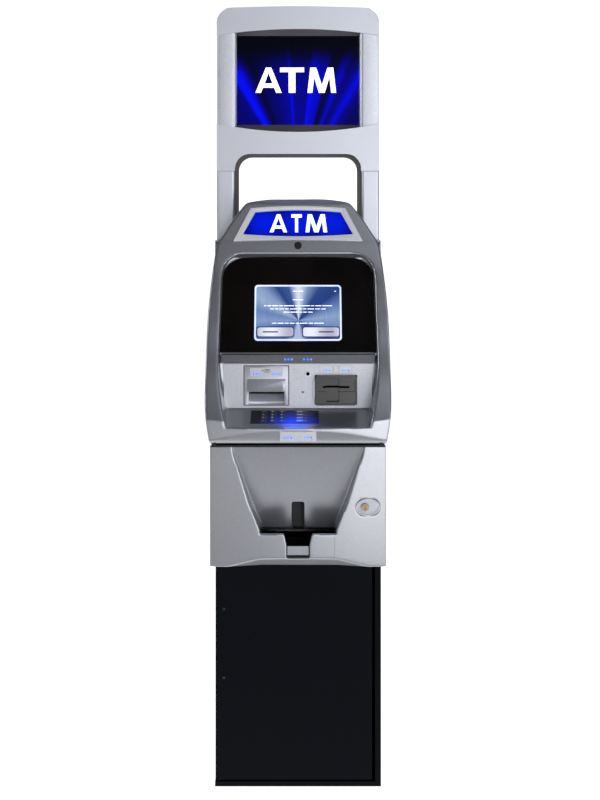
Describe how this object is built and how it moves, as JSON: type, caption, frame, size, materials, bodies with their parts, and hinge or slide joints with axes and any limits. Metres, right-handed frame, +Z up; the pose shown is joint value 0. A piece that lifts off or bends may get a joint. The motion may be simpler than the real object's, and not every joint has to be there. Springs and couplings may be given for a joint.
{
  "type": "atm machine",
  "caption": "Free-standing cash machine: steel chest with hinged door and bolt work, tilting control head with keypad, card and receipt slots, cash pocket, and raised lit sign.",
  "frame": {"origin": "on the floor, at the centre of the whole object's outline", "axes": "+X to the right of someone using it, -Y out of its front, +Z up"},
  "size_m": [0.406, 0.5901, 1.7829],
  "materials": {
    "chest_powder": "fine textured powder coat",
    "door_powder": "fine textured powder coat",
    "silver_paint": "metallic silver paint",
    "housing_paint": "metallic silver paint",
    "dark_plastic": "satin",
    "black_gloss": "polished",
    "screen": "lit display behind glass",
    "satin_silver": "satin",
    "band_grey": "satin",
    "blue_lens": "lit translucent",
    "zinc": "zinc plated sheet",
    "steel": "turned",
    "lock_metal": "worn bronze chrome",
    "black_steel": "satin",
    "board_green": "solder mask",
    "paper": "paper",
    "key_metal": "satin",
    "rubber_grey": "matt",
    "panel_grey": "satin silver"
  },
  "bodies": {
    "chest": {"chest_shell": "chest_powder", "dispenser_frame": "zinc", "dispenser_motor": "black_steel", "head_base": "black_steel", "head_housing": "housing_paint", "rear_cover": "black_steel", "cover_screws": "steel", "main_board": "board_green", "power_supply": "zinc", "power_inlet": "dark_plastic", "fan_frame": "dark_plastic", "leg_left": "silver_paint", "leg_right": "silver_paint", "sign_shell": "silver_paint", "sign_lens": "blue_lens"},
    "door": {"vault_door": "door_powder", "door_screws": "black_steel", "lock_dial": "dark_plastic", "panel_hinge": "black_steel"},
    "bolts": {"bolt_bar": "zinc"},
    "handle": {"vault_handle": "steel"},
    "pocket_panel": {"lower_panel": "silver_paint", "cash_tray": "dark_plastic", "lock_escutcheon": "satin_silver"},
    "panel_lock": {"panel_lock": "lock_metal"},
    "cassette": {"cash_cassette": "dark_plastic"},
    "picker": {"pick_shaft": "rubber_grey"},
    "fan": {"fan_rotor": "dark_plastic"},
    "front": {"fascia_shell": "silver_paint", "screen_surround": "black_gloss", "touch_screen": "screen", "screen_module": "zinc", "device_panel": "panel_grey", "light_strip": "band_grey", "led_lenses": "blue_lens", "label_plates": "satin_silver", "printer_bezel": "satin_silver", "printer_body": "dark_plastic", "card_bezel": "black_gloss", "card_reader": "dark_plastic", "keypad_plate": "dark_plastic", "hood_lens": "blue_lens"},
    "front_lock": {"head_lock": "lock_metal"},
    "roll": {"paper_roll": "paper"},
    "key_1": {"key_1": "key_metal"},
    "key_2": {"key_2": "key_metal"},
    "key_3": {"key_3": "key_metal"},
    "key_4": {"key_4": "key_metal"},
    "key_5": {"key_5": "key_metal"},
    "key_6": {"key_6": "key_metal"},
    "key_7": {"key_7": "key_metal"},
    "key_8": {"key_8": "key_metal"},
    "key_9": {"key_9": "key_metal"},
    "key_star": {"key_star": "key_metal"},
    "key_0": {"key_0": "key_metal"},
    "key_hash": {"key_hash": "key_metal"},
    "function_key_1": {"function_key_1": "key_metal"},
    "function_key_2": {"function_key_2": "key_metal"},
    "function_key_3": {"function_key_3": "key_metal"},
    "function_key_4": {"function_key_4": "key_metal"}
  },
  "joints": [
    {"name": "door_swing", "type": "hinge", "parent": "chest", "child": "door", "pos_m": [-0.178, -0.159, 0.4], "axis": [0, 0, -1], "range_deg": [0, 90]},
    {"name": "pocket_panel_swing", "type": "hinge", "parent": "door", "child": "pocket_panel", "pos_m": [-0.182, -0.178, 0.65], "axis": [0, 0, -1], "range_deg": [0, 80]},
    {"name": "handle_turn", "type": "hinge", "parent": "door", "child": "handle", "pos_m": [0.112, -0.16, 0.704], "axis": [0, -1, 0], "range_deg": [0, 48]},
    {"name": "bolt_slide", "type": "slide", "parent": "door", "child": "bolts", "axis": [1, 0, 0], "range_m": [0, 0.016]},
    {"name": "panel_lock_turn", "type": "hinge", "parent": "pocket_panel", "child": "panel_lock", "pos_m": [0.145, -0.24, 0.649], "axis": [0, 1, 0], "range_deg": [0, 90]},
    {"name": "cassette_slide", "type": "slide", "parent": "chest", "child": "cassette", "axis": [0, -1, 0], "range_m": [0, 0.045]},
    {"name": "picker_spin", "type": "hinge", "parent": "chest", "child": "picker", "pos_m": [0, -0.055, 0.47], "axis": [1, 0, 0], "continuous": true},
    {"name": "fan_spin", "type": "hinge", "parent": "chest", "child": "fan", "pos_m": [-0.1, 0.28, 1.09], "axis": [0, 1, 0], "continuous": true},
    {"name": "front_tilt", "type": "hinge", "parent": "chest", "child": "front", "pos_m": [0, -0.28, 0.797], "axis": [1, 0, 0], "range_deg": [0, 55]},
    {"name": "front_lock_turn", "type": "hinge", "parent": "front", "child": "front_lock", "pos_m": [0, -0.1, 1.211], "axis": [0, 1, 0], "range_deg": [0, 90]},
    {"name": "roll_spin", "type": "hinge", "parent": "front", "child": "roll", "pos_m": [-0.07, -0.073, 0.905], "axis": [1, 0, 0], "continuous": true},
    {"name": "key_1_press", "type": "slide", "parent": "front", "child": "key_1", "axis": [0, 0.2791, -0.9602], "range_m": [0, 0.0025], "stiffness_N_per_m": 300, "springref_m": -0.002},
    {"name": "key_2_press", "type": "slide", "parent": "front", "child": "key_2", "axis": [0, 0.2791, -0.9602], "range_m": [0, 0.0025], "stiffness_N_per_m": 300, "springref_m": -0.002},
    {"name": "key_3_press", "type": "slide", "parent": "front", "child": "key_3", "axis": [0, 0.2791, -0.9602], "range_m": [0, 0.0025], "stiffness_N_per_m": 300, "springref_m": -0.002},
    {"name": "key_4_press", "type": "slide", "parent": "front", "child": "key_4", "axis": [0, 0.2791, -0.9602], "range_m": [0, 0.0025], "stiffness_N_per_m": 300, "springref_m": -0.002},
    {"name": "key_5_press", "type": "slide", "parent": "front", "child": "key_5", "axis": [0, 0.2791, -0.9602], "range_m": [0, 0.0025], "stiffness_N_per_m": 300, "springref_m": -0.002},
    {"name": "key_6_press", "type": "slide", "parent": "front", "child": "key_6", "axis": [0, 0.2791, -0.9602], "range_m": [0, 0.0025], "stiffness_N_per_m": 300, "springref_m": -0.002},
    {"name": "key_7_press", "type": "slide", "parent": "front", "child": "key_7", "axis": [0, 0.2791, -0.9602], "range_m": [0, 0.0025], "stiffness_N_per_m": 300, "springref_m": -0.002},
    {"name": "key_8_press", "type": "slide", "parent": "front", "child": "key_8", "axis": [0, 0.2791, -0.9602], "range_m": [0, 0.0025], "stiffness_N_per_m": 300, "springref_m": -0.002},
    {"name": "key_9_press", "type": "slide", "parent": "front", "child": "key_9", "axis": [0, 0.2791, -0.9602], "range_m": [0, 0.0025], "stiffness_N_per_m": 300, "springref_m": -0.002},
    {"name": "key_star_press", "type": "slide", "parent": "front", "child": "key_star", "axis": [0, 0.2791, -0.9602], "range_m": [0, 0.0025], "stiffness_N_per_m": 300, "springref_m": -0.002},
    {"name": "key_0_press", "type": "slide", "parent": "front", "child": "key_0", "axis": [0, 0.2791, -0.9602], "range_m": [0, 0.0025], "stiffness_N_per_m": 300, "springref_m": -0.002},
    {"name": "key_hash_press", "type": "slide", "parent": "front", "child": "key_hash", "axis": [0, 0.2791, -0.9602], "range_m": [0, 0.0025], "stiffness_N_per_m": 300, "springref_m": -0.002},
    {"name": "function_key_1_press", "type": "slide", "parent": "front", "child": "function_key_1", "axis": [0, 0.2791, -0.9602], "range_m": [0, 0.0025], "stiffness_N_per_m": 300, "springref_m": -0.002},
    {"name": "function_key_2_press", "type": "slide", "parent": "front", "child": "function_key_2", "axis": [0, 0.2791, -0.9602], "range_m": [0, 0.0025], "stiffness_N_per_m": 300, "springref_m": -0.002},
    {"name": "function_key_3_press", "type": "slide", "parent": "front", "child": "function_key_3", "axis": [0, 0.2791, -0.9602], "range_m": [0, 0.0025], "stiffness_N_per_m": 300, "springref_m": -0.002},
    {"name": "function_key_4_press", "type": "slide", "parent": "front", "child": "function_key_4", "axis": [0, 0.2791, -0.9602], "range_m": [0, 0.0025], "stiffness_N_per_m": 300, "springref_m": -0.002}
  ],
  "couplings": [
    {"joint": "bolt_slide", "follows": "handle_turn", "m_per_rad": 0.019099}
  ]
}
